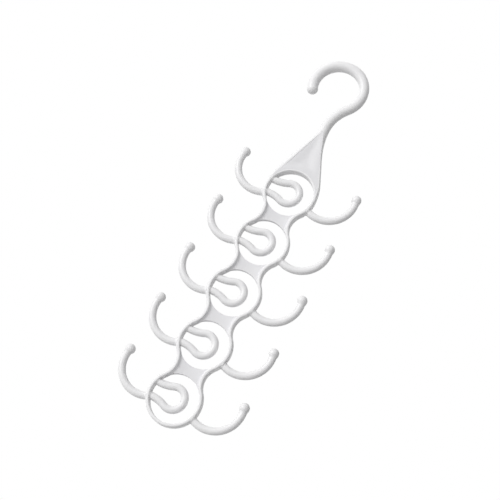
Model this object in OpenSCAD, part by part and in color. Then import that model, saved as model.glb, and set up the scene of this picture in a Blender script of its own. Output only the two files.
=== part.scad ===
// Scarf hanger: a flat ladder of rings under a rail hook, moulded in white plastic.
// It hangs in the XZ plane with +Z up and its front towards -Y. The origin is the rail's seat,
// at the top of the hook's inside. A place in that plane is written [x, z], and an angle in it
// turns from +X towards +Z.

/* [Hanging hook] */
// Inside diameter of the hook, which takes the rail
hook_bore_d = 36.6; // [33:0.2:44]
// Diameter of the hook's round rod
hook_rod_d = 9.4; // [8.6:0.2:11]
// Diameter of the rod below the hook, down to the neck
bend_rod_d = 9.2; // [8:0.2:9.2]
// Diameter of the bead at the hook's tip
tip_bead_d = 10; // [9.6:0.2:13]
// Angle round the hook at which the bead sits
tip_angle = 204; // [190:1:212]
// Steepest lean of the rod under the hook, from upright
bend_lean = 42; // [38:0.2:46]
// Radius of the lower bend, along the rod's centre
bend_r = 38.3; // [34:0.1:42]
// Upright length of rod that runs down between the neck's edges
shank_len = 6; // [4:0.5:8]
// Diameter of that upright end
shank_d = 9.4; // [9.3:0.1:10]

/* [Neck] */
// Height from the first ring's centre to the top of the neck
neck_h = 68.7; // [62:0.1:76]
// Distance of the rod's foot left of the ladder's axis
shank_offset = 1.3; // [0:0.1:2]
// Size of the left side's outward curve, as a share of its two curves together
left_belly_share = 0.606; // [0.55:0.002:0.64]
// Size of the right side's outward curve, as a share of its two curves together
right_belly_share = 0.443; // [0.4:0.001:0.47]
// Lean of the neck's left side, from upright
left_lean = 19.5; // [18.5:0.1:21]
// Lean of the neck's right side, from upright
right_lean = 24; // [22.5:0.1:25]
// Length over which the neck narrows into the round rod
taper_len = 12; // [9:1:16]
// Thickness of the neck's sunk panel
panel_t = 6; // [3:0.2:6.2]

/* [Ladder] */
// Number of rings
ring_count = 5; // [2:1:8]
// Distance between the centres of two rings
ring_pitch = 50; // [49:0.5:56]
// Inside diameter of a ring
ring_bore_d = 41; // [38:0.5:42]
// Width of the raised edge, seen from the front
rim_w = 2.8; // [2.4:0.1:3.2]
// Depth of the raised edge, from front to back
rim_d = 8.6; // [8.4:0.2:11]
// Radius on the corners of the raised edge
rim_edge_r = 1.1; // [0.4:0.1:1.1]
// Width of the ladder between two rings
waist_w = 28.6; // [26:0.2:31]
// Thickness of the sunk web between two rings
web_t = 3; // [2:0.2:5]

/* [Inner loops] */
// Diameter of the loop's round rod
loop_rod_d = 6.3; // [6.2:0.1:7]
// Diameter of the arms' round rods
arm_rod_d = 6.1; // [5:0.1:6.2]
// Radius of the loop, along the rod's centre
loop_r = 9.5; // [9:0.1:11]
// Distance of the loop's centre left of the ring's centre
loop_offset = 1.3; // [0:0.1:2]
// Distance between the centres of the loop's two arms
arm_spread = 12.6; // [11:0.1:14]
// Radius of the curve that leads each arm into the loop
arm_curve_r = 30; // [24:1:34]

/* [Side hooks] */
// Diameter of the side hook's round rod
side_rod_d = 6.4; // [5:0.1:7]
// Radius of the side hook, along the rod's centre
side_hook_r = 23.3; // [20:0.1:24]
// Distance from the ladder's axis to the hook's outermost point, at the rod's centre
side_hook_reach = 54.7; // [50:0.1:60]
// Depth of the hook's lowest point under the ring's centre, at the rod's centre
side_hook_dip = 10.1; // [8:0.1:12]
// Angle up from level at which the ball sits
ball_angle = 15; // [5:1:25]
// Diameter of the ball at the hook's end
ball_d = 8.6; // [7:0.1:11]

/* [Hidden] */
$fn = 64;
plastic = "#f3f4f5";
// Cuts run this far past the faces that they go through
cut_over = 2;
// Stretches of two sizes run this far into each other
lap = 0.5;
// The neck's straight edges are thinner than their curved ends by this much all round, and
// the solid part between them is thicker by as much on each face
lap_step = 0.05;
// The neck's taper starts this much wider than the rod
taper_extra = 3.6;
// The taper ends this far under the rod's surface
taper_sink = 0.3;
// Share of the full horn that the web keeps, because its very tip is a sliver
horn_share = 0.83;
// The arch over the first ring starts this far up from level, clear of the same sliver
arch_start = 16;
// Points along each inward curve of the neck's infill
cove_steps = 4;

// Unit vectors across and along a line that leans inwards by the angle a
function across(a) = [cos(a), sin(a)];

hook_r = (hook_bore_d + hook_rod_d) / 2;
neck_end_r = shank_d / 2;
hook_centre = [0, -hook_bore_d / 2];
bend_top = hook_centre + hook_r * across(-bend_lean);
bend_centre = bend_top + bend_r * across(-bend_lean);
bend_lap = asin(lap / bend_r);
neck_top = bend_centre - [bend_r, 0];

ring_r = ring_bore_d / 2;
rim_outer_r = ring_r + rim_w;
rim_mid_r = ring_r + rim_w / 2;
ladder_x = neck_top[0] + shank_offset;
first_ring_z = neck_top[1] - neck_h;

// A waist's curve touches the ring above and the ring below it, which fixes its radius
waist_half = waist_w / 2;
half_pitch = ring_pitch / 2;
waist_r = (pow(waist_half, 2) + pow(half_pitch, 2) - pow(rim_outer_r, 2))
    / (2 * (rim_outer_r - waist_half));
waist_x = waist_half + waist_r;
meet_angle = atan2(half_pitch, waist_x);
web_half_h = horn_share * (waist_r + rim_w) * sin(meet_angle);

side_centre = [side_hook_reach - side_hook_r, side_hook_r - side_hook_dip];
root_angle = -acos((ring_r - side_centre[0]) / side_hook_r);

// The curves from the arms touch the loop, which fixes how far along the arms they start
loop_centre = [-loop_offset, 0];
arm_z = arm_spread / 2;
arm_curve_z = arm_z + arm_curve_r;
arm_curve_run = sqrt(pow(arm_curve_r + loop_r, 2) - pow(arm_curve_z, 2));
arm_curve_x = -loop_offset - arm_curve_run;
arm_lap = asin(lap / arm_curve_r);
root_turn = asin((rim_outer_r + arm_curve_x) / arm_curve_r);
arm_turn = atan2(arm_curve_z, arm_curve_run);

rings = [1:ring_count];
webs = [1:ring_count - 1];

// The neck is drawn from the first ring's centre. Each side is written as if it were the right
// one (side 1), and the left one (side -1) is its mirror image.
function lean(side) = side < 0 ? left_lean : right_lean;
function belly_share(side) = side < 0 ? left_belly_share : right_belly_share;
function side_top(side) = [neck_end_r - side * shank_offset, neck_h];

// A side stands upright beside the ring and again at its top. An outward curve, a straight and an
// inward curve join the two, and the way from one end to the other fixes the sum of the radii.
function curves_r(side) =
    ((side_top(side) - [rim_outer_r, 0]) * across(lean(side))) / (1 - cos(lean(side)));
function belly_r(side) = belly_share(side) * curves_r(side);
function cove_r(side) = curves_r(side) - belly_r(side);
function belly_centre(side) = [rim_outer_r - belly_r(side), 0];
function cove_centre(side) = side_top(side) + [cove_r(side), 0];

// The edge ends where the taper into the rod begins, and laps on into it
function end_lean(side) = asin(taper_len / cove_r(side));
function lap_lean(side) = asin(lap / cove_r(side));

// Points at depth w in from the neck's outline, where it leans by the angle a
function belly_point(side, a, w) = belly_centre(side) + (belly_r(side) - w) * across(a);
function cove_point(side, a, w) = cove_centre(side) - (cove_r(side) + w) * across(a);

function mirrored(side, points) = [for (p = points) [side * p[0], p[1]]];
function reversed(points) = [for (i = [len(points) - 1:-1:0]) points[i]];

// The inner edges of both sides run on straight and cross at the pocket's point
side_line = [for (side = [1, -1])
    belly_centre(side) * across(lean(side)) + belly_r(side) - rim_w];
pocket_point = [
    side_line[0] * sin(left_lean) - side_line[1] * sin(right_lean),
    side_line[1] * cos(right_lean) + side_line[0] * cos(left_lean)
] / sin(left_lean + right_lean);

// Section of the raised edge: x across it, y from front to back, thinner all round by thin
module rim_section(thin = 0) {
    flat_w = rim_w - 2 * rim_edge_r;
    flat_d = rim_d - 2 * rim_edge_r;
    square([rim_w - 2 * thin, flat_d], center = true);
    square([flat_w, rim_d - 2 * thin], center = true);
    for (sx = [-1, 1], sy = [-1, 1])
        translate([sx * flat_w / 2, sy * flat_d / 2]) circle(r = rim_edge_r - thin);
}

// Sweeps a section round an arc, or along a straight line, of the XZ plane
module sweep_arc(centre, r, from, to) {
    translate([centre[0], 0, centre[1]])
        rotate([90, 0, 0])
            rotate_extrude(angle = to - from, start = from) translate([r, 0]) children();
}

module sweep_line(p, q) {
    run = q - p;
    translate([p[0], 0, p[1]])
        rotate([0, atan2(run[0], run[1]), 0]) linear_extrude(height = norm(run)) children();
}

// A flat plate of the XZ plane, centred from front to back
module plate(t) {
    rotate([90, 0, 0]) linear_extrude(height = t, center = true) children();
}

// A round hole right through the ladder, used as a cut
module bore(centre, r) {
    plate(rim_d + 2 * cut_over) translate(centre) circle(r = r);
}

module ball(centre, d) {
    translate([centre[0], 0, centre[1]]) sphere(d = d);
}

module at_ring(k, side = 1) {
    translate([ladder_x, 0, first_ring_z - (k - 1) * ring_pitch])
        mirror([side < 0 ? 1 : 0, 0, 0]) children();
}

// The rod's upright end, which tapers away between the neck's edges
module shank() {
    translate([neck_top[0], 0, neck_top[1]]) rotate_extrude() polygon([
        [0, 0], [neck_end_r, 0], [neck_end_r, -shank_len / 2],
        [neck_end_r / 2, -shank_len], [0, -shank_len]
    ]);
}

// The solid part of the neck, from the pocket's point up to the rod. It reaches to the middle of
// both edges where they run beside it, and out to the outline above their ends. A cone narrows
// it into the rod.
module neck_infill() {
    function spread(side, from, to, w) = [for (i = [0:cove_steps])
        cove_point(side, from + (to - from) * i / cove_steps, w)];
    function half(side) = let (start = lean(side) - lap_lean(side)) mirrored(side, concat(
        [cove_point(side, start, rim_w + lap_step)],
        spread(side, start, end_lean(side), rim_w / 2),
        spread(side, end_lean(side), 0, 0)
    ));
    intersection() {
        at_ring(1) plate(rim_d + 2 * lap_step)
            polygon(concat([pocket_point], half(1), reversed(half(-1))));
        translate([neck_top[0], 0, first_ring_z])
            cylinder(
                r1 = neck_end_r + taper_extra * neck_h / taper_len,
                r2 = neck_end_r - taper_sink,
                h = neck_h
            );
    }
}

module neck_sweep(side) {
    a = lean(side);
    up = [-sin(a), cos(a)];
    w = rim_w / 2;
    at_ring(1, side) {
        sweep_arc(belly_centre(side), belly_r(side) - w, 0, a) rim_section();
        sweep_line(belly_point(side, a, w) - lap * up, cove_point(side, a, w) + lap * up)
            rim_section(lap_step);
        sweep_arc(cove_centre(side), cove_r(side) + w, 180 + end_lean(side) - lap_lean(side), 180 + a)
            rim_section();
    }
}

module neck_rim(side) {
    color(plastic) difference() {
        neck_sweep(side);
        neck_infill();
    }
}

// The sunk panel, drawn out to the middle of the edges round it and then cut by them
module neck_panel() {
    function half(side) = mirrored(side, [
        cove_point(side, lean(side), rim_w / 2),
        belly_point(side, lean(side), rim_w / 2),
        belly_point(side, lean(side) / 2, rim_w / 2),
        [rim_mid_r, 0]
    ]);
    color(plastic) difference() {
        at_ring(1) plate(panel_t) polygon(concat([pocket_point], half(1), reversed(half(-1))));
        at_ring(1) bore([0, 0], rim_outer_r);
        neck_sweep(1);
        neck_sweep(-1);
        neck_infill();
        shank();
    }
}

// The arch over the first ring, between the feet of the neck's edges
module crown_rim() {
    color(plastic) difference() {
        at_ring(1) sweep_arc([0, 0], rim_mid_r, arch_start, 180 - arch_start) rim_section();
        neck_sweep(1);
        neck_sweep(-1);
    }
}

module hanging_hook() {
    color(plastic) {
        ball(hook_centre + hook_r * across(tip_angle), tip_bead_d);
        sweep_arc(hook_centre, hook_r, -bend_lean, tip_angle) circle(d = hook_rod_d);
        sweep_arc(bend_centre, bend_r, 180 - bend_lean - bend_lap, 180 + bend_lap)
            circle(d = bend_rod_d);
        shank();
        neck_infill();
    }
}

// One side of ring k, from waist to waist. The first ring's runs up to its middle, where the
// neck's edge starts, and the last ring's runs round to the bottom.
module side_rim(k, side) {
    low = k == ring_count ? -90 : -meet_angle;
    high = k == 1 ? 0 : meet_angle;
    color(plastic) at_ring(k, side) sweep_arc([0, 0], rim_mid_r, low, high) rim_section();
}

// One side of the waist between ring k and the next one
module waist_rim(k, side) {
    color(plastic) at_ring(k, side)
        sweep_arc([waist_x, -half_pitch], waist_r + rim_w / 2, 180 - meet_angle, 180 + meet_angle)
            rim_section();
}

// The web between ring k and the next one
module web(k) {
    color(plastic) at_ring(k) translate([0, 0, -half_pitch]) difference() {
        plate(web_t) square([waist_w, 2 * web_half_h], center = true);
        for (s = [-1, 1]) {
            bore([s * waist_x, 0], waist_r + rim_w);
            bore([0, s * half_pitch], ring_r);
        }
    }
}

// A closed loop on two arms that stand on the ring's left edge
module inner_loop(k) {
    color(plastic) at_ring(k) intersection() {
        union() {
            sweep_arc(loop_centre, loop_r, arm_turn - 180, 180 - arm_turn) circle(d = loop_rod_d);
            for (s = [0, 1]) mirror([0, 0, s])
                sweep_arc([arm_curve_x, arm_curve_z], arm_curve_r, -90 - root_turn, arm_lap - arm_turn)
                    circle(d = arm_rod_d);
        }
        bore([0, 0], ring_r);
    }
}

// An open hook on the outside of ring k, with a ball at its end
module side_hook(k, side) {
    color(plastic) at_ring(k, side) difference() {
        union() {
            sweep_arc(side_centre, side_hook_r, root_angle, ball_angle) circle(d = side_rod_d);
            ball(side_centre + side_hook_r * across(ball_angle), ball_d);
        }
        bore([0, 0], rim_outer_r);
    }
}

hanging_hook();
neck_rim(-1);  // left_neck_rim
neck_rim(1);  // right_neck_rim
crown_rim();
neck_panel();
for (k = rings) side_rim(k, -1);
for (k = rings) side_rim(k, 1);
for (k = webs) waist_rim(k, -1);
for (k = webs) waist_rim(k, 1);
for (k = webs) web(k);
for (k = rings) inner_loop(k);
for (k = rings) side_hook(k, -1);
for (k = rings) side_hook(k, 1);
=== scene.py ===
"""A white plastic scarf hanger: a rail hook, a shield-shaped neck and a ladder of five rings.

The hanger lies in the XZ plane with its front towards -Y, and its origin is the rail's seat. Shapes are
worked out in millimetres from the first ring's centre, with x to the right and z up, and are turned into
metres of the frame when a mesh is made.
"""

from __future__ import annotations

import logging
import math
from dataclasses import dataclass, field, replace
from enum import Enum
from functools import cache, cached_property
from typing import Callable, Sequence

import bmesh
import bpy
from mathutils import Euler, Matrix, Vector

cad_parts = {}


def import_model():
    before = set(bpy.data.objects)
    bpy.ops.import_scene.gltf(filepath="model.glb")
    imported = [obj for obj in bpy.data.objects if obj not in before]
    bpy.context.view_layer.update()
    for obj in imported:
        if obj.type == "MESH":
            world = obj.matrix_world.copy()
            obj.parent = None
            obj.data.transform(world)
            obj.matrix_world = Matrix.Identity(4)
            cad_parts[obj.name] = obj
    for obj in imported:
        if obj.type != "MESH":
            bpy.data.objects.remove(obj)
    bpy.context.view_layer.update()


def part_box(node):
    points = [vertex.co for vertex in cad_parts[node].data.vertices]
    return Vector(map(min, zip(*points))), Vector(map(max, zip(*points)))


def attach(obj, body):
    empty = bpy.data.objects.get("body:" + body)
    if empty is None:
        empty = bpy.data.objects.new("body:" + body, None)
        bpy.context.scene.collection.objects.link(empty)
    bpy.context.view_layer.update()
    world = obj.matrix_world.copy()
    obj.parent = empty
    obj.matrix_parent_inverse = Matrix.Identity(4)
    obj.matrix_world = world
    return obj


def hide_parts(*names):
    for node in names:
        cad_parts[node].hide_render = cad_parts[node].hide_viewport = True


LOG = logging.getLogger("hanger")
MM = 0.001
BODY = "root"
WHITE = (1.0, 1.0, 1.0, 1.0)
WELD = 1e-4  # mm between two points of a mesh that are taken as one
ROOT_RUN = 4.0  # mm over which a rod's sections turn from its root to square
Point = tuple[float, float]
Span = tuple[float, float]
Triple = tuple[float, float, float]


class Side(Enum):
    """A side of the ladder, as the sign of x."""

    LEFT = -1
    RIGHT = 1

    @property
    def word(self) -> str:
        """The side's name in lower case."""
        return self.name.lower()


class Detail(Enum):
    """How many points a corner of a cross-section has."""

    EDGE = 9
    ROD = 13
    NECK = 14
    HOOK = 17


def sin(degrees: float) -> float:
    """Sine of an angle in degrees."""
    return math.sin(math.radians(degrees))


def cos(degrees: float) -> float:
    """Cosine of an angle in degrees."""
    return math.cos(math.radians(degrees))


def direction(x: float, z: float) -> float:
    """Direction of a vector, in degrees from +X towards +Z."""
    return math.degrees(math.atan2(z, x))


def half_chord(radius: float, gap: float) -> float:
    """Half the chord of a circle at a distance from its centre, and 0 beyond the circle."""
    return math.sqrt(max(0.0, radius**2 - gap**2))


def mix(a: float, b: float, share: float) -> float:
    """The value that lies a share of the way from a to b."""
    return a + (b - a) * share


def smooth(value: float, low: float, high: float) -> float:
    """An even step from 0 at low to 1 at high.

    Args:
        value: Where the step is read.
        low: Where the step starts.
        high: Where it is complete. It may lie below low.

    Returns:
        The step's height there.
    """
    share = min(1.0, max(0.0, (value - low) / (high - low)))
    return share * share * (3.0 - 2.0 * share)


@dataclass(frozen=True)
class Section:
    """Sizes of a bar's cross-section, in mm.

    Attributes:
        across: Half its size across the bar, in the hanger's plane.
        depth: Half its size from front to back.
        corner: Radius of the corners on the right of the way of travel.
        left_corner: Radius of the corners on the left.
    """

    across: float
    depth: float
    corner: float
    left_corner: float

    @classmethod
    def round(cls, radius: float, depth: float = math.inf) -> "Section":
        """A round section, flattened where it would be deeper than depth."""
        return cls(radius, min(radius, depth), radius, radius)

    def outline(self, quarter_points: int) -> list[Point]:
        """Points round the section, from its right side by way of its back.

        Args:
            quarter_points: Points on each corner.

        Returns:
            The points, each as its places across and from front to back.
        """
        right = min(self.corner, 2 * self.across)
        left = min(self.left_corner, 2 * self.across - right)
        points = []
        for quarter in range(4):
            on_right = quarter in (0, 3)
            run, rise = (right, self.corner) if on_right else (left, self.left_corner)
            rise = min(rise, self.depth)
            middle_a = (self.across - run) * (1 if on_right else -1)
            middle_d = (self.depth - rise) * (1 if quarter < 2 else -1)
            for i in range(quarter_points):
                angle = 90.0 * (quarter + i / (quarter_points - 1))
                points.append((middle_a + run * cos(angle), middle_d + rise * sin(angle)))
        return points


@dataclass(frozen=True)
class Station:
    """A cross-section at its place.

    Attributes:
        x: Place of its middle.
        z: Place of its middle.
        heading: Direction of travel, in degrees from +X towards +Z.
        section: Its sizes.
    """

    x: float
    z: float
    heading: float
    section: Section

    def ring(self, quarter_points: int) -> list[Triple]:
        """The section's outline in its place, as x, y and z."""
        return [
            (self.x + a * sin(self.heading), d, self.z - a * cos(self.heading))
            for a, d in self.section.outline(quarter_points)
        ]


def finish_mesh(mesh: bmesh.types.BMesh, crisp: float = 35.0) -> bmesh.types.BMesh:
    """Tidies a new mesh and keeps the shading crisp where its faces meet at an angle.

    Args:
        mesh: The mesh.
        crisp: Least angle of a crisp edge, in degrees.

    Returns:
        The mesh.
    """
    bmesh.ops.remove_doubles(mesh, verts=mesh.verts, dist=WELD)
    bmesh.ops.dissolve_degenerate(mesh, edges=mesh.edges, dist=WELD)
    bmesh.ops.recalc_face_normals(mesh, faces=mesh.faces)
    for edge in mesh.edges:
        edge.smooth = edge.calc_face_angle(0.0) < math.radians(crisp)
    return mesh


def sweep_mesh(stations: Sequence[Station], detail: Detail) -> bmesh.types.BMesh:
    """A closed bar through cross-sections.

    Args:
        stations: The cross-sections in order.
        detail: How finely their corners are made.

    Returns:
        The bar's mesh, in mm.
    """
    mesh = bmesh.new()
    rings = [[mesh.verts.new(point) for point in station.ring(detail.value)] for station in stations]
    count = len(rings[0])
    for low, high in zip(rings, rings[1:]):
        for i in range(count):
            j = (i + 1) % count
            mesh.faces.new((low[i], low[j], high[j], high[i]))
    for ring, station in ((rings[0], stations[0]), (rings[-1], stations[-1])):
        middle = mesh.verts.new((station.x, 0.0, station.z))
        for i in range(count):
            mesh.faces.new((ring[i], ring[(i + 1) % count], middle))
    return finish_mesh(mesh)


def eased(i: int, count: int) -> float:
    """The share that i is of count, with finer steps near 0 and near 1."""
    return 0.5 - 0.5 * cos(180.0 * i / count)


def plate_mesh(
    place: Callable[[float, float], Point], half: Callable[[float, float], float], columns: int, rows: int
) -> bmesh.types.BMesh:
    """A closed plate whose front and back mirror each other.

    Args:
        place: Gives x and z at a share across and a share up, each from 0 to 1.
        half: Gives half the thickness there.
        columns: Cells across.
        rows: Cells up.

    Returns:
        The plate's mesh, in mm.
    """
    mesh = bmesh.new()
    faces = []
    for sign in (-1.0, 1.0):
        grid = []
        for i in range(columns + 1):
            column = []
            for j in range(rows + 1):
                u, v = eased(i, columns), eased(j, rows)
                x, z = place(u, v)
                column.append(mesh.verts.new((x, sign * half(u, v), z)))
            grid.append(column)
        faces.append(grid)
        for i in range(columns):
            for j in range(rows):
                mesh.faces.new((grid[i][j], grid[i + 1][j], grid[i + 1][j + 1], grid[i][j + 1]))
    round_trip = [(i, 0) for i in range(columns + 1)] + [(columns, j) for j in range(1, rows + 1)]
    round_trip += [(i, rows) for i in range(columns - 1, -1, -1)] + [(0, j) for j in range(rows - 1, 0, -1)]
    front, back = ([grid[i][j] for i, j in round_trip] for grid in faces)
    for i in range(len(round_trip)):
        j = (i + 1) % len(round_trip)
        mesh.faces.new((front[i], front[j], back[j], back[i]))
    return finish_mesh(mesh)


class Wire:
    """A node's output socket, on which Python's operators add Math nodes."""

    def __init__(self, graph: "Graph", socket: bpy.types.NodeSocket) -> None:
        """Keeps the socket and the graph that its node is in."""
        self.graph = graph
        self.socket = socket

    def _math(self, operation: str, first: object, second: object) -> "Wire":
        """One Math node on two values."""
        node = self.graph.add("ShaderNodeMath", {"operation": operation}, {0: first, 1: second})
        return Wire(self.graph, node.outputs[0])

    def __add__(self, other: object) -> "Wire":
        """This value plus another."""
        return self._math("ADD", self, other)

    def __radd__(self, other: object) -> "Wire":
        """Another value plus this one."""
        return self._math("ADD", other, self)

    def __sub__(self, other: object) -> "Wire":
        """This value less another."""
        return self._math("SUBTRACT", self, other)

    def __rsub__(self, other: object) -> "Wire":
        """Another value less this one."""
        return self._math("SUBTRACT", other, self)

    def __mul__(self, other: object) -> "Wire":
        """This value times another."""
        return self._math("MULTIPLY", self, other)

    def __rmul__(self, other: object) -> "Wire":
        """Another value times this one."""
        return self._math("MULTIPLY", other, self)


class Graph:
    """The node tree of one material or world."""

    def __init__(self, tree: bpy.types.NodeTree) -> None:
        """Empties the node tree that is to be filled."""
        self.tree = tree
        tree.nodes.clear()

    def add(self, kind: str, settings: dict[str, object], values: dict[object, object]) -> bpy.types.Node:
        """Adds a node.

        Args:
            kind: The node's type.
            settings: Its properties, set before its sockets.
            values: For each input, a plain value, a socket or a Wire.

        Returns:
            The node.
        """
        node = self.tree.nodes.new(kind)
        for name, value in settings.items():
            setattr(node, name, value)
        for key, value in values.items():
            source = value.socket if isinstance(value, Wire) else value
            if isinstance(source, bpy.types.NodeSocket):
                self.tree.links.new(source, node.inputs[key])
            else:
                node.inputs[key].default_value = source
        return node

    def wire(
        self, kind: str, settings: dict[str, object], values: dict[object, object], output: object = 0
    ) -> Wire:
        """Adds a node and gives one of its outputs as a Wire."""
        return Wire(self, self.add(kind, settings, values).outputs[output])


@dataclass(frozen=True)
class MouldedPlastic:
    """Satin white plastic as it comes from a polished steel mould.

    Attributes:
        name: The material's name.
        light: Colour of most of the surface, which for the edges holds painted light and for the panel and
            webs painted shade.
        shade: Colour of its faintly greyer clouds.
        gloss: Roughness where it is smoothest.
        haze: Roughness that the clouds add.
        grain: Height of the fine grain, in mm.
        cloud_size: Size of the clouds, in mm.
        flow_size: Size of the flow marks in the clouds, in mm.
        ripple_size: Size of the slow ripples in the surface, in mm.
        grain_size: Size of the grain, in mm.
        cloud_band: Noise values between which light turns into shade.
        ripple_share: Height of the ripples as a share of the grain's.
        grain_haze: Roughness that the grain adds and takes off.
    """

    name: str
    light: Triple
    shade: Triple
    gloss: float
    haze: float
    grain: float
    cloud_size: float = 26.0
    flow_size: float = 7.0
    ripple_size: float = 3.2
    grain_size: float = 0.45
    cloud_band: Span = (0.38, 0.62)
    ripple_share: float = 2.5
    grain_haze: float = 0.05

    def _noise(self, graph: Graph, where: bpy.types.NodeSocket, size: float, detail: float) -> Wire:
        """Noise whose blobs are about size mm across."""
        settings = {"noise_dimensions": "3D"}
        values = {"Vector": where, "Scale": 1.0 / (size * MM), "Detail": detail, "Roughness": 0.55}
        return graph.wire("ShaderNodeTexNoise", settings, values, "Fac")

    def build(self) -> bpy.types.Material:
        """Makes the material."""
        material = bpy.data.materials.new(self.name)
        material.use_nodes = True
        graph = Graph(material.node_tree)
        where = graph.add("ShaderNodeTexCoord", {}, {}).outputs["Object"]
        clouds = self._noise(graph, where, self.cloud_size, 3.0)
        flow = self._noise(graph, where, self.flow_size, 2.0)
        grain = self._noise(graph, where, self.grain_size, 3.0)
        ripple = self._noise(graph, where, self.ripple_size, 1.0)
        low, high = self.cloud_band
        tone = graph.wire(
            "ShaderNodeMapRange",
            {"interpolation_type": "SMOOTHSTEP"},
            {"Value": clouds * 0.6 + flow * 0.4, "From Min": low, "From Max": high},
        )
        colour = graph.wire(
            "ShaderNodeMix",
            {"data_type": "RGBA", "blend_type": "MIX"},
            {"Factor": tone, 6: (*self.light, 1.0), 7: (*self.shade, 1.0)},
            2,
        )
        height = grain * (self.grain * MM) + ripple * (self.ripple_share * self.grain * MM)
        bump = graph.add("ShaderNodeBump", {}, {"Strength": 0.6, "Distance": 1.0, "Height": height})
        shader = graph.add(
            "ShaderNodeBsdfPrincipled",
            {},
            {
                "Base Color": colour,
                "Roughness": tone * self.haze + grain * self.grain_haze + (self.gloss - self.grain_haze / 2),
                "Specular IOR Level": 0.35,
                "Normal": bump.outputs["Normal"],
            },
        )
        graph.add("ShaderNodeOutputMaterial", {}, {"Surface": shader.outputs[0]})
        return material


ROD_FINISH = MouldedPlastic(
    "rod_plastic", (0.882, 0.878, 0.884), (0.860, 0.856, 0.866), gloss=0.30, haze=0.06, grain=0.004
)
# The raised edges are the same white plastic as the rods, painted a little lighter as painted light on their
# raised fronts.
LIT_EDGE_FINISH = MouldedPlastic(
    "edge_plastic", (0.900, 0.896, 0.902), (0.880, 0.876, 0.886), gloss=0.34, haze=0.06, grain=0.005
)
# The sunk panel and webs are the same white plastic, painted about a tenth darker as painted shade in their
# recesses.
SHADED_PANEL_FINISH = MouldedPlastic(
    "panel_plastic", (0.800, 0.796, 0.812), (0.780, 0.777, 0.796), gloss=0.42, haze=0.08, grain=0.008
)


@dataclass(frozen=True)
class Plan:
    """The hanger's driving sizes, in mm, from the first ring's centre.

    Attributes:
        origin: The first ring's centre in the frame.
        rings: How many rings the ladder has.
        pitch: Distance from one ring to the next.
        ring_r: Radius of a ring's opening.
        edge_w: Width of the raised edges, seen from the front.
        edge_d: Depth of the raised edges from front to back.
        outer_corner: Radius of their corners on the outside.
        inner_corner: Radius of their corners towards the opening.
        waist_half: Half the ladder's width where it is narrowest.
        web_t: Thickness of the webs.
        root_inset: How far the root of a rod keeps inside the edge's faces.
    """

    origin: Point
    rings: int = 5
    pitch: float = 50.0
    ring_r: float = 20.5
    edge_w: float = 2.8
    edge_d: float = 8.6
    outer_corner: float = 1.3
    inner_corner: float = 0.8
    waist_half: float = 14.3
    web_t: float = 3.0
    root_inset: float = 0.1

    @property
    def root_depth(self) -> float:
        """Half the greatest depth of a rod where it leaves an edge."""
        return self.edge_d / 2 - self.root_inset

    @property
    def outer_r(self) -> float:
        """Outer radius of a ring's edge."""
        return self.ring_r + self.edge_w

    @property
    def mid_r(self) -> float:
        """Radius along the middle of a ring's edge."""
        return self.ring_r + self.edge_w / 2

    @property
    def waist_r(self) -> float:
        """Radius of the waist's outer curve, which touches the rings above and below."""
        square = self.waist_half**2 + (self.pitch / 2) ** 2 - self.outer_r**2
        return square / (2 * (self.outer_r - self.waist_half))

    @property
    def waist_x(self) -> float:
        """Distance of the centre of the waist's curve from the ladder's axis."""
        return self.waist_half + self.waist_r

    @property
    def meet(self) -> float:
        """Angle up from level at which a ring runs into a waist."""
        return direction(self.waist_x, self.pitch / 2)

    def edge_section(self, outer: Side) -> Section:
        """The raised edge's section where its outer side is on this side of the way of travel."""
        corners = (self.outer_corner, self.inner_corner)
        return Section(self.edge_w / 2, self.edge_d / 2, *(corners if outer is Side.RIGHT else corners[::-1]))

    def ring_z(self, number: int) -> float:
        """Height of a ring's centre, for rings numbered from 1."""
        return -self.pitch * (number - 1)


def new_object(name: str, data: bpy.types.ID) -> bpy.types.Object:
    """Makes an object and links it to the scene."""
    made = bpy.data.objects.new(name, data)
    bpy.context.scene.collection.objects.link(made)
    return made


def mesh_object(name: str, shape: bmesh.types.BMesh) -> bpy.types.Object:
    """Turns a mesh into an object and frees it."""
    data = bpy.data.meshes.new(name)
    shape.to_mesh(data)
    shape.free()
    return new_object(name, data)


class Maker:
    """Turns meshes in mm into pieces that ride in the frame."""

    def __init__(self, plan: Plan) -> None:
        """Keeps the hanger's driving sizes and starts with no materials."""
        self.plan = plan
        self.materials: dict[str, bpy.types.Material] = {}

    def material(self, finish: MouldedPlastic) -> bpy.types.Material:
        """The finish's material, made the first time it is asked for."""
        if finish.name not in self.materials:
            self.materials[finish.name] = finish.build()
        return self.materials[finish.name]

    def piece(self, node: str, shape: bmesh.types.BMesh, finish: MouldedPlastic) -> bpy.types.Object:
        """Dresses a mesh and puts it in the place of a node.

        Args:
            node: The node that the piece stands for.
            shape: The mesh, in mm from the first ring's centre.
            finish: Its finish.

        Returns:
            The piece.
        """
        x0, z0 = self.plan.origin
        for vert in shape.verts:
            vert.co = Vector(((vert.co.x + x0) * MM, vert.co.y * MM, (vert.co.z + z0) * MM))
        for face in shape.faces:
            face.smooth = True
        piece = mesh_object(node + "_form", shape)
        piece.data.materials.append(self.material(finish))
        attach(piece, BODY)
        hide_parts(node)
        LOG.info("%s: %d vertices", node, len(piece.data.vertices))
        return piece

    def edge(self, node: str, route: Route, section: Section) -> bpy.types.Object:
        """Builds a raised edge that has one section all along a route."""
        stations = route.stations(lambda s: section)
        # The edge's colour is lightened as painted light.
        return self.piece(node, sweep_mesh(stations, Detail.EDGE), LIT_EDGE_FINISH)


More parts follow.
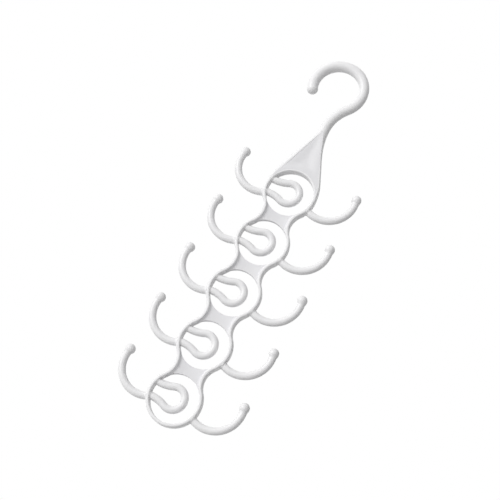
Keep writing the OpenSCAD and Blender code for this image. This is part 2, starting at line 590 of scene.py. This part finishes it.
@dataclass
class Route:
    """A smooth line of arcs in the hanger's plane, walked at even steps.

    Attributes:
        step: Longest distance between two samples, in mm.
        samples: For each sample its distance along the route, x, z and heading.
    """

    step: float = 0.6
    samples: list[tuple[float, float, float, float]] = field(default_factory=list)

    @property
    def length(self) -> float:
        """Distance walked so far."""
        return self.samples[-1][0] if self.samples else 0.0

    def arc(self, centre: Point, radius: float, start: float, end: float) -> "Route":
        """Walks an arc.

        Args:
            centre: Its centre.
            radius: Its radius.
            start: Angle at which it starts, from +X towards +Z.
            end: Angle at which it ends.

        Returns:
            The route itself.
        """
        run = math.radians(abs(end - start)) * radius
        count = max(2, math.ceil(run / self.step))
        way = 90.0 if end > start else -90.0
        base = self.length
        for i in range(1 if self.samples else 0, count + 1):
            angle = mix(start, end, i / count)
            x = centre[0] + radius * cos(angle)
            z = centre[1] + radius * sin(angle)
            self.samples.append((base + run * i / count, x, z, angle + way))
        return self

    def line(self, run: float) -> "Route":
        """Walks straight on for a run, and gives the route itself."""
        base, x0, z0, heading = self.samples[-1]
        count = max(1, math.ceil(run / self.step))
        for i in range(1, count + 1):
            s = run * i / count
            self.samples.append((base + s, x0 + s * cos(heading), z0 + s * sin(heading), heading))
        return self

    def stations(
        self, size: Callable[[float], Section], lean: Callable[[float], float] = lambda s: 0.0
    ) -> list[Station]:
        """Cross-sections along the route.

        Args:
            size: Gives the cross-section at a distance.
            lean: Gives the degrees by which a section is turned from square to the route.

        Returns:
            One station for each sample.
        """
        return [Station(x, z, heading + lean(s), size(s)) for s, x, z, heading in self.samples]

    def root_lean(self, z0: float, outward: bool) -> float:
        """Degrees that turn the route's first section flush with the edge of the ring it leaves.

        Args:
            z0: Height of the ring's centre.
            outward: Whether the route leaves the ring on the outside.

        Returns:
            The turn, between -180 and 180 degrees.
        """
        _, x, z, heading = self.samples[0]
        radial = direction(x, z - z0) + (0.0 if outward else 180.0)
        return (radial - heading + 180.0) % 360.0 - 180.0


def crossing(centre: Point, radius: float, target: float, way: int) -> float:
    """Angle at which a circle crosses a larger ring round the origin.

    Args:
        centre: The circle's centre.
        radius: Its radius.
        target: The ring's radius.
        way: 1 for the crossing that lies anticlockwise of the line to the origin, or -1.

    Returns:
        The angle at the circle's centre, in degrees.
    """
    gap = math.hypot(*centre)
    share = (radius**2 + gap**2 - target**2) / (2 * radius * gap)
    return direction(-centre[0], -centre[1]) + way * math.degrees(math.acos(share))


def fillet_rise(gap: float, radius: float) -> float:
    """What a fillet adds to a rod's radius at a distance from the face that the rod stands on."""
    short = max(0.0, radius - max(0.0, gap))
    return radius - half_chord(radius, short)


def ball_size(s: float, rod: float, ball: float, middle: float) -> float:
    """Radius of a rod that ends in a ball, with a soft throat between them.

    Args:
        s: Distance along the rod.
        rod: The rod's radius.
        ball: The ball's radius.
        middle: Distance at which the ball's middle lies.

    Returns:
        The radius there.
    """
    round_r = half_chord(ball, s - middle)
    if s >= middle:
        return round_r
    # The throat is the difference in radius over which the ball and the rod blend
    throat = 0.9 * (ball - rod)
    near = max(0.0, throat - abs(round_r - rod)) / throat
    return max(rod, round_r) + near * near * throat / 4


def tip_samples(route: Route, ball: float, steps: int = 14) -> None:
    """Ends a route with finer steps over the front half of a ball.

    Args:
        route: The route, which has reached the ball's middle.
        ball: The ball's radius.
        steps: Number of steps.
    """
    base, x0, z0, heading = route.samples[-1]
    for i in range(1, steps + 1):
        # The last step stops just short of the tip, where the section would have no size
        s = ball * sin(90.0 * min(i / steps, 0.995))
        route.samples.append((base + s, x0 + s * cos(heading), z0 + s * sin(heading), heading))


@dataclass
class HangingHook:
    """The rod that goes over the rail, from its bead down to the neck.

    Attributes:
        maker: Makes the piece.
        centre: Centre of the round crook.
        radius: Radius of the crook's middle line.
        foot_r: The rod's radius at the neck.
        bend_thin: How much thinner the rod gets in the bend.
        crown_thick: How much thicker it gets again over the crown.
        thin_span: Distances from the neck between which it gets thinner.
        thick_span: Distances between which it gets thicker.
        bead_r: Radius of the bead at the tip.
        tip_angle: Angle of the bead round the crook.
        lean: Degrees by which the straight part leans to the right.
        straight: Length of the straight part.
        bend_r: Radius of the bend above the neck.
    """

    maker: Maker
    centre: Point = (-8.58, 109.7)
    radius: float = 23.0
    foot_r: float = 4.7
    bend_thin: float = 0.3
    crown_thick: float = 0.45
    thin_span: Span = (0.0, 14.0)
    thick_span: Span = (48.0, 78.0)
    bead_r: float = 5.0
    tip_angle: float = 204.0
    lean: float = 38.6
    straight: float = 3.9
    bend_r: float = 37.8

    def route(self) -> Route:
        """The rod's centre line, from the neck to the bead's middle."""
        bend = self.lean
        top = (self.centre[0] + self.radius * cos(-bend), self.centre[1] + self.radius * sin(-bend))
        low = (top[0] - self.straight * sin(bend), top[1] - self.straight * cos(bend))
        turn = (low[0] + self.bend_r * cos(bend), low[1] - self.bend_r * sin(bend))
        route = Route(0.8).arc(turn, self.bend_r, 180.0, 180.0 - bend)
        route.line(self.straight)
        return route.arc(self.centre, self.radius, -bend, self.tip_angle)

    def rod(self, s: float) -> float:
        """The rod's radius, which is least in the bend and greatest over the crown."""
        thin = self.bend_thin * smooth(s, *self.thin_span)
        return self.foot_r - thin + self.crown_thick * smooth(s, *self.thick_span)

    def build(self) -> None:
        """Builds the hook."""
        route = self.route()
        bead_at = route.length
        tip_samples(route, self.bead_r)

        def size(s: float) -> Section:
            """The rod's section at a distance."""
            return Section.round(ball_size(s, self.rod(s), self.bead_r, bead_at))

        self.maker.piece("hanging_hook", sweep_mesh(route.stations(size), Detail.HOOK), ROD_FINISH)


@dataclass(frozen=True)
class Flank:
    """The outer line of one side of the neck, which is upright at its foot and at its top.

    Distances are counted outwards from the ladder's axis.

    Attributes:
        foot: Distance at the foot, level with the first ring's centre.
        top: Distance at the top.
        top_z: Height of the top.
        belly: Radius of the outward curve above the foot.
        lean: Degrees by which the straight part leans inwards.
    """

    foot: float
    top: float
    top_z: float
    belly: float
    lean: float

    @cached_property
    def cove(self) -> float:
        """Radius of the inward curve below the top."""
        reach = self.top - self.foot + self.belly
        return (reach * cos(self.lean) + self.top_z * sin(self.lean) - self.belly) / (1 - cos(self.lean))

    def reach(self, z: float) -> float:
        """Distance of the line from the ladder's axis at a height."""
        belly_top = self.belly * sin(self.lean)
        if z <= belly_top:
            return self.foot - self.belly + half_chord(self.belly, max(z, 0.0))
        if z < self.top_z - self.cove * sin(self.lean):
            slope = (z - belly_top) * sin(self.lean) / cos(self.lean)
            return self.foot - self.belly * (1 - cos(self.lean)) - slope
        return self.top + self.cove - half_chord(self.cove, max(self.top_z - z, 0.0))

    def tilt(self, z: float) -> float:
        """Degrees by which the line leans inwards at a height."""
        step = 0.2
        return math.degrees(math.atan((self.reach(z - step) - self.reach(z + step)) / (2 * step)))


@dataclass
class Neck:
    """The shield under the hook: two raised edges, an arch over the first ring and a sunk panel.

    Attributes:
        maker: Makes the pieces.
        top_z: Height at which the rod starts.
        top_left: Place of the rod's left side there.
        top_right: Place of its right side.
        rod_r: The rod's radius there.
        apex: Upper end of the sunk panel.
        line_z: Height above which the panel's sides run straight to the apex.
        belly_left: Radius of the left outline's outward curve.
        belly_right: Radius of the right outline's outward curve.
        lean_left: Lean of the left outline, in degrees.
        lean_right: Lean of the right outline, in degrees.
        left_extra: Width that the left edge gains.
        left_span: Heights between which it gains it.
        left_corner: Radius of the left edge's outer corners.
        left_corner_span: Heights between which they grow.
        deepen_z: Height from which the edges grow to the rod's depth.
        round_z: Height from which their outer corners grow to the rod's radius.
        turn_run: Height below the apex over which the sections turn level.
        corner_run: Height below the apex over which the inner corners end.
        samples: Steps up each edge.
        arch_ends: Angles between which the arch runs.
        arch_inset: How far the arch's sides keep inside the ring's.
        panel_rays: Directions of the panel's lower corners from the first ring's centre.
        panel_half: Half the panel's thickness where it is lowest.
        overlap: How far the panel runs into the edges.
        left_step: Share of its sunk level that the panel has at the left edge.
        left_run: Distance over which it sinks from there.
        right_run: Greatest distance over which it rises to the right edge.
        arch_run: Distance over which it rises to the arch.
        apex_run: Height over which it rises to the apex.
        skin: How far the risen panel stands out of the edges' faces.
        flanks: The two outer lines.
    """

    maker: Maker
    top_z: float = 68.78
    top_left: float = -5.98
    top_right: float = 3.42
    rod_r: float = 4.7
    apex: Point = (-0.8, 64.0)
    line_z: float = 30.0
    belly_left: float = 70.0
    belly_right: float = 50.0
    lean_left: float = 19.5
    lean_right: float = 24.0
    left_extra: float = 1.5
    left_span: Span = (3.0, 24.0)
    left_corner: float = 3.2
    left_corner_span: Span = (2.0, 22.0)
    deepen_z: float = 52.0
    round_z: float = 46.0
    turn_run: float = 12.0
    corner_run: float = 9.0
    samples: int = 150
    arch_ends: Span = (6.0, 174.0)
    arch_inset: float = 0.02
    panel_rays: Span = (22.0, 158.0)
    panel_half: float = 3.3
    overlap: float = 1.3
    left_step: float = 0.35
    left_run: float = 9.0
    right_run: float = 11.0
    arch_run: float = 7.0
    apex_run: float = 12.0
    skin: float = 0.015
    flanks: dict[Side, Flank] = field(init=False)

    def __post_init__(self) -> None:
        """Works out the two outer lines."""
        foot = self.maker.plan.outer_r
        self.flanks = {
            Side.LEFT: Flank(foot, -self.top_left, self.top_z, self.belly_left, self.lean_left),
            Side.RIGHT: Flank(foot, self.top_right, self.top_z, self.belly_right, self.lean_right),
        }

    def inner(self, side: Side, z: float) -> float:
        """Distance of one edge's inner side from the ladder's axis, counted outwards, at a height."""
        if z <= self.line_z:
            flank = self.flanks[side]
            wider = self.left_extra * smooth(z, *self.left_span) if side is Side.LEFT else 0.0
            return flank.reach(z) - (self.maker.plan.edge_w + wider) / cos(flank.tilt(z))
        base = self.inner(side, self.line_z)
        return mix(base, side.value * self.apex[0], (z - self.line_z) / (self.apex[1] - self.line_z))

    def split(self, z: float) -> float:
        """Place of the line at which the two edges meet above the panel."""
        middle = (self.top_left + self.top_right) / 2
        return mix(self.apex[0], middle, smooth(z, self.apex[1], self.top_z))

    def depth(self, z: float) -> float:
        """Half the depth of the edges, which grows into the rod's."""
        return mix(self.maker.plan.edge_d / 2, self.rod_r, smooth(z, self.deepen_z, self.top_z))

    def corners(self, side: Side, z: float) -> tuple[float, float]:
        """Radii of an edge's corners at a height, on the right and on the left of its way up."""
        plan = self.maker.plan
        apex_z = self.apex[1]
        grown = smooth(z, *self.left_corner_span) if side is Side.LEFT else 0.0
        low = mix(plan.outer_corner, self.left_corner, grown)
        outer = mix(low, self.rod_r, smooth(z, self.round_z, self.top_z))
        inner = plan.inner_corner * smooth(z, apex_z, apex_z - self.corner_run)
        return (outer, inner) if side is Side.RIGHT else (inner, outer)

    def edge(self, side: Side) -> None:
        """Builds one raised edge, which turns into one half of the rod at its top."""
        sign = side.value
        apex_z = self.apex[1]
        flank = self.flanks[side]
        stations = []
        for i in range(self.samples + 1):
            z = self.top_z * i / self.samples
            outer = flank.reach(z)
            inner = self.inner(side, z) if z < apex_z else sign * self.split(z)
            tilt = flank.tilt(z)
            turn = tilt * smooth(z, apex_z, apex_z - self.turn_run)
            half = (outer - inner) / 2 * cos(tilt) / cos(tilt - turn)
            section = Section(half, self.depth(z), *self.corners(side, z))
            stations.append(Station(sign * (outer + inner) / 2, z, 90.0 + sign * turn, section))
        # The edge's colour is lightened as painted light.
        self.maker.piece(side.word + "_neck_rim", sweep_mesh(stations, Detail.NECK), LIT_EDGE_FINISH)

    def arch(self) -> None:
        """Builds the arch over the first ring."""
        plan = self.maker.plan
        full = plan.edge_section(Side.RIGHT)
        inset = self.arch_inset
        section = replace(full, across=full.across - inset, depth=full.depth - inset / 2)
        route = Route().arc((0.0, 0.0), plan.mid_r, *self.arch_ends)
        self.maker.edge("crown_rim", route, section)

    def panel(self) -> None:
        """Builds the dished panel, along rays from the first ring's centre.

        It is sunk with a crisp step at the left edge, and it rises softly to the right edge, to the
        arch and to its apex.
        """
        plan = self.maker.plan
        start = plan.ring_r + self.overlap

        @cache
        def reach(angle: float) -> float:
            """Distance along a ray at which it has run into an edge."""
            # The far end lies beyond the apex, and the halvings leave no step that could be seen
            near, far = start, 70.0
            for _ in range(30):
                middle = (near + far) / 2
                x, z = middle * cos(angle), middle * sin(angle)
                side = Side.RIGHT if x > self.apex[0] else Side.LEFT
                inside = z < self.apex[1] and side.value * x < self.inner(side, z) + self.overlap
                near, far = (middle, far) if inside else (near, middle)
            return near

        def place(u: float, v: float) -> Point:
            """The panel's point at a share round and a share out."""
            angle = mix(*self.panel_rays, u)
            r = mix(start, max(reach(angle), start + 0.05), v)
            return r * cos(angle), r * sin(angle)

        def half(u: float, v: float) -> float:
            """Half the panel's thickness."""
            x, z = place(u, v)
            right = self.inner(Side.RIGHT, z) - x
            left = self.inner(Side.LEFT, z) + x
            arch = math.hypot(x, z) - plan.outer_r
            # Towards the apex the rise has less room between the edges
            soft = min(self.right_run, 0.7 * (right + left)) + 0.5
            level = mix(self.left_step, 1.0, smooth(left, 0.0, self.left_run))
            level *= 1.0 - smooth(right, soft, 0.0)
            level *= 1.0 - smooth(arch, self.arch_run, 0.0)
            level *= 1.0 - smooth(z, self.apex[1] - self.apex_run, self.apex[1])
            return mix(self.depth(z) + self.skin, self.panel_half, level)

        # The panel's colour is darkened as painted shade in its recess.
        self.maker.piece("neck_panel", plate_mesh(place, half, 140, 90), SHADED_PANEL_FINISH)

    def build(self) -> None:
        """Builds the neck's pieces."""
        self.panel()
        self.arch()
        for side in Side:
            self.edge(side)


@dataclass
class Ladder:
    """The wavy raised edges of the ladder and the sunk webs between its rings.

    Attributes:
        maker: Makes the pieces.
        web_fillet: Width of the fillet along a web's sides.
        web_rise: Height of that fillet.
        web_dish: How much thicker a web is at its sides than in its middle.
        web_tuck: How far a web runs into the edges.
        web_rounding: Radius of a web's edge along the openings.
    """

    maker: Maker
    web_fillet: float = 1.3
    web_rise: float = 0.9
    web_dish: float = 0.6
    web_tuck: float = 1.2
    web_rounding: float = 0.45

    def ring_edge(self, number: int, side: Side) -> None:
        """Builds one side of a ring.

        Args:
            number: Ring, from 1 at the top.
            side: Which side.
        """
        plan = self.maker.plan
        low = -90.0 if number == plan.rings else -plan.meet
        high = 0.0 if number == 1 else plan.meet
        if side is Side.LEFT:
            low, high = 180.0 - high, 180.0 - low
        route = Route().arc((0.0, plan.ring_z(number)), plan.mid_r, low, high)
        self.maker.edge(f"{side.word}_rim_{number}", route, plan.edge_section(Side.RIGHT))

    def waist_edge(self, number: int, side: Side) -> None:
        """Builds one side of the waist under a ring.

        Args:
            number: Ring above the waist.
            side: Which side.
        """
        plan = self.maker.plan
        centre = (side.value * plan.waist_x, plan.ring_z(number) - plan.pitch / 2)
        middle = 180.0 if side is Side.RIGHT else 0.0
        route = Route().arc(centre, plan.waist_r + plan.edge_w / 2, middle - plan.meet, middle + plan.meet)
        self.maker.edge(f"{side.word}_waist_{number}", route, plan.edge_section(Side.LEFT))

    def web(self, number: int) -> None:
        """Builds the web under a ring, rounded along the openings and with fillets along the edges.

        Args:
            number: Ring above the web.
        """
        plan = self.maker.plan
        middle = plan.ring_z(number) - plan.pitch / 2
        inner_r = plan.waist_r + plan.edge_w
        horn = inner_r * sin(plan.meet)

        def inner(z: float) -> float:
            """Distance of the waist edge's inner side from the axis."""
            return plan.waist_x - half_chord(inner_r, z)

        def rise(x: float) -> float:
            """Half the web's height at a distance from the axis."""
            return min(horn, plan.pitch / 2 - half_chord(plan.ring_r, x))

        def local(u: float, v: float) -> Point:
            """The web's point from its own middle."""
            x, z = 0.0, 0.0
            # The width depends on the height and the height on the width, so both settle in rounds
            for _ in range(12):
                x = (2 * u - 1) * (inner(z) + self.web_tuck)
                z = (2 * v - 1) * rise(x)
            return x, z

        def place(u: float, v: float) -> Point:
            """The web's point from the first ring's centre."""
            x, z = local(u, v)
            return x, z + middle

        def half(u: float, v: float) -> float:
            """Half the web's thickness."""
            x, z = local(u, v)
            from_edge = rise(x) - abs(z)
            from_side = max(0.0, inner(z) - abs(x))
            fillet = self.web_rise * max(0.0, 1.0 - from_side / self.web_fillet) ** 2
            fillet += self.web_dish * (abs(x) / inner(z)) ** 2
            inset = max(0.0, self.web_rounding - from_edge)
            return plan.web_t / 2 + fillet - self.web_rounding + half_chord(self.web_rounding, inset)

        # The web's colour is darkened as painted shade in its recess.
        self.maker.piece(f"web_{number}", plate_mesh(place, half, 48, 36), SHADED_PANEL_FINISH)

    def build(self) -> None:
        """Builds every ring, waist and web."""
        plan = self.maker.plan
        for number in range(1, plan.rings + 1):
            for side in Side:
                self.ring_edge(number, side)
                if number < plan.rings:
                    self.waist_edge(number, side)
            if number < plan.rings:
                self.web(number)


@dataclass
class InnerLoop:
    """The closed loop inside a ring, on two arms from the ring's left edge.

    Attributes:
        maker: Makes the pieces.
        rod_r: The rod's radius.
        radius: Radius of the loop's middle line.
        offset: Place of the loop's centre, across from the ring's.
        arm_z: Distance of the arms' middle lines from the loop's centre where the arms are closest.
        curve_r: Radius of the arms' curve.
        fillet: Radius of the fillets at the roots.
    """

    maker: Maker
    rod_r: float = 3.15
    radius: float = 9.5
    offset: float = -1.3
    arm_z: float = 6.3
    curve_r: float = 30.0
    fillet: float = 1.3

    def build(self, number: int) -> None:
        """Builds the loop of a ring.

        Args:
            number: Ring, from 1 at the top.
        """
        plan = self.maker.plan
        z0 = plan.ring_z(number)
        rise = self.arm_z + self.curve_r
        run = math.sqrt((self.curve_r + self.radius) ** 2 - rise**2)
        turn = direction(run, rise)
        start_x = self.offset - run
        root = crossing((start_x, rise), self.curve_r, plan.mid_r, -1)
        route = Route(0.5).arc((start_x, z0 + rise), self.curve_r, root, -turn)
        route.arc((self.offset, z0), self.radius, 180.0 - turn, turn - 180.0)
        route.arc((start_x, z0 - rise), self.curve_r, turn, -root)
        total = route.length
        root_lean = route.root_lean(z0, False)

        def size(s: float) -> Section:
            """The rod's section, with a fillet where each arm leaves the edge."""
            r = self.rod_r + fillet_rise(min(s, total - s) - plan.edge_w / 2, self.fillet)
            return Section.round(r, plan.root_depth)

        def lean(s: float) -> float:
            """The turn of the sections near both roots."""
            return root_lean * (smooth(s, ROOT_RUN, 0.0) - smooth(s, total - ROOT_RUN, total))

        shape = sweep_mesh(route.stations(size, lean), Detail.ROD)
        self.maker.piece(f"inner_loop_{number}", shape, ROD_FINISH)


@dataclass
class SideHook:
    """An open hook on the outside of a ring, with a ball at its end.

    Attributes:
        maker: Makes the pieces.
        rod_r: The rod's radius.
        ball_r: The ball's radius.
        radius: Radius of the hook's middle line.
        centre: Centre of the right-hand hook's curve, from its ring's centre.
        ball_angle: Angle of the ball round that centre.
        fillet: Radius of the fillet at the root.
        root_part: Length from the root in which the rod keeps to the edge's depth.
    """

    maker: Maker
    rod_r: float = 3.2
    ball_r: float = 4.3
    radius: float = 23.3
    centre: Point = (31.4, 13.2)
    ball_angle: float = 15.2
    fillet: float = 1.4
    root_part: float = 8.0

    def build(self, number: int, side: Side) -> None:
        """Builds one hook.

        Args:
            number: Ring, from 1 at the top.
            side: Which side of the ring it stands on.
        """
        plan = self.maker.plan
        z0 = plan.ring_z(number)
        centre = (side.value * self.centre[0], self.centre[1] + z0)
        root = crossing(self.centre, self.radius, plan.mid_r, 1)
        start, end = root, self.ball_angle
        if side is Side.LEFT:
            start, end = 180.0 - root, 180.0 - self.ball_angle
        route = Route().arc(centre, self.radius, start, end)
        ball_at = route.length
        tip_samples(route, self.ball_r)
        root_lean = route.root_lean(z0, True)

        def size(s: float) -> Section:
            """The rod's section, with a fillet at its root and a ball at its end."""
            r = ball_size(s, self.rod_r, self.ball_r, ball_at)
            r += fillet_rise(s - plan.edge_w / 2, self.fillet)
            return Section.round(r, plan.root_depth if s < self.root_part else math.inf)

        def lean(s: float) -> float:
            """The turn of the sections near the root."""
            return root_lean * smooth(s, ROOT_RUN, 0.0)

        shape = sweep_mesh(route.stations(size, lean), Detail.ROD)
        self.maker.piece(f"{side.word}_hook_{number}", shape, ROD_FINISH)


@dataclass(frozen=True)
class Studio:
    """The camera, a soft lamp from the upper left, the white surroundings and a pale floor.

    Attributes:
        eye: The camera's place.
        turn: Degrees by which the camera is turned to the left.
        tilt: Degrees by which it looks up.
        roll: Degrees by which it is rolled.
        lens: Its focal length, in mm.
        lamp_turn: Degrees by which the lamp is turned about the upright.
        lamp_height: Degrees by which it stands above level.
        lamp_strength: Its strength.
        lamp_spread: Degrees that it seems to be wide.
        surroundings: Strength of the surroundings, as the object sees them.
        gradient: How much more or less they have on and opposite their bright side.
        bright_side: Direction of that side.
        floor_z: The floor's height.
        floor_half: Half the floor's width.
        floor_white: Share of plain white that the camera sees in the floor.
    """

    eye: Triple = (0.2103, -0.7489, -0.4017)
    turn: float = 15.54
    tilt: float = 15.35
    roll: float = 29.47
    lens: float = 68.65
    lamp_turn: float = -46.0
    lamp_height: float = 7.0
    lamp_strength: float = 1.5
    lamp_spread: float = 30.0
    surroundings: float = 0.46
    gradient: float = 0.43
    bright_side: Triple = (-0.71, -0.70, -0.07)
    floor_z: float = -0.9
    floor_half: float = 3.0
    floor_white: float = 0.85

    def camera(self) -> None:
        """Places the camera where the photograph was taken from."""
        data = bpy.data.cameras.new("camera")
        data.lens = self.lens
        data.sensor_width = 36.0
        data.clip_start = 0.01
        camera = new_object("camera", data)
        up = Euler((math.radians(90.0 + self.tilt), 0.0, math.radians(self.turn)), "XYZ").to_matrix()
        roll = Euler((0.0, 0.0, math.radians(self.roll)), "XYZ").to_matrix()
        camera.matrix_world = (up @ roll).to_4x4()
        camera.location = self.eye
        bpy.context.scene.camera = camera

    def lamp(self) -> None:
        """Adds the lamp, which shines from the upper left and the front."""
        data = bpy.data.lights.new("window", "SUN")
        data.energy = self.lamp_strength
        data.angle = math.radians(self.lamp_spread)
        lamp = new_object("window", data)
        lamp.rotation_euler = (math.radians(90.0 - self.lamp_height), 0.0, math.radians(self.lamp_turn))

    def white_rays(self, graph: Graph) -> Wire:
        """1 for rays from the camera, off gloss or through glass, which see white, and 0 for the rest."""
        rays = graph.add("ShaderNodeLightPath", {}, {})
        kinds = ("Is Camera Ray", "Is Glossy Ray", "Is Transmission Ray")
        seen, mirrored, through = (rays.outputs[kind] for kind in kinds)
        white = graph.wire("ShaderNodeMath", {"operation": "MAXIMUM"}, {0: seen, 1: mirrored})
        return graph.wire("ShaderNodeMath", {"operation": "MAXIMUM"}, {0: white, 1: through})

    def world(self) -> None:
        """Makes surroundings that look white, and that light the object more from one side."""
        world = bpy.data.worlds.new("surroundings")
        bpy.context.scene.world = world
        world.use_nodes = True
        graph = Graph(world.node_tree)
        white = self.white_rays(graph)
        where = graph.add("ShaderNodeTexCoord", {}, {}).outputs["Generated"]
        facing = graph.wire(
            "ShaderNodeVectorMath", {"operation": "DOT_PRODUCT"}, {0: where, 1: self.bright_side}, "Value"
        )
        strength = white + (1.0 - white) * (facing * self.gradient + self.surroundings)
        light = graph.add("ShaderNodeBackground", {}, {"Color": WHITE, "Strength": strength})
        graph.add("ShaderNodeOutputWorld", {}, {"Surface": light.outputs[0]})

    def floor(self) -> None:
        """Lays a pale floor well under the hanging object."""
        shape = bmesh.new()
        bmesh.ops.create_grid(shape, x_segments=8, y_segments=8, size=self.floor_half)
        for vert in shape.verts:
            vert.co.z += self.floor_z
        floor = mesh_object("floor", shape)
        material = bpy.data.materials.new("floor_paint")
        material.use_nodes = True
        graph = Graph(material.node_tree)
        paint = graph.add("ShaderNodeBsdfDiffuse", {}, {"Color": (0.9, 0.9, 0.9, 1.0)})
        white = graph.add("ShaderNodeEmission", {}, {"Color": WHITE, "Strength": 1.0})
        share = self.white_rays(graph) * self.floor_white
        both = graph.add("ShaderNodeMixShader", {}, {0: share, 1: paint.outputs[0], 2: white.outputs[0]})
        graph.add("ShaderNodeOutputMaterial", {}, {"Surface": both.outputs[0]})
        floor.data.materials.append(material)

    def build(self) -> None:
        """Sets up everything that isn't the object."""
        self.camera()
        self.lamp()
        self.world()
        self.floor()
        bpy.context.scene.view_settings.view_transform = "Standard"


def first_ring() -> Point:
    """The first ring's centre in the frame, in mm, read from the nodes of the first ring."""
    left_low, left_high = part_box("left_rim_1")
    _, right_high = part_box("right_rim_1")
    return ((left_low.x + right_high.x) / 2 / MM, left_high.z / MM)


def main() -> None:
    """Builds the hanger round the frame."""
    logging.basicConfig(level=logging.INFO, format="%(name)s: %(message)s")
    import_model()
    Studio().build()
    maker = Maker(Plan(first_ring()))
    HangingHook(maker).build()
    Neck(maker).build()
    Ladder(maker).build()
    for number in range(1, maker.plan.rings + 1):
        InnerLoop(maker).build(number)
        for side in Side:
            SideHook(maker).build(number, side)


if __name__ == "__main__":
    main()
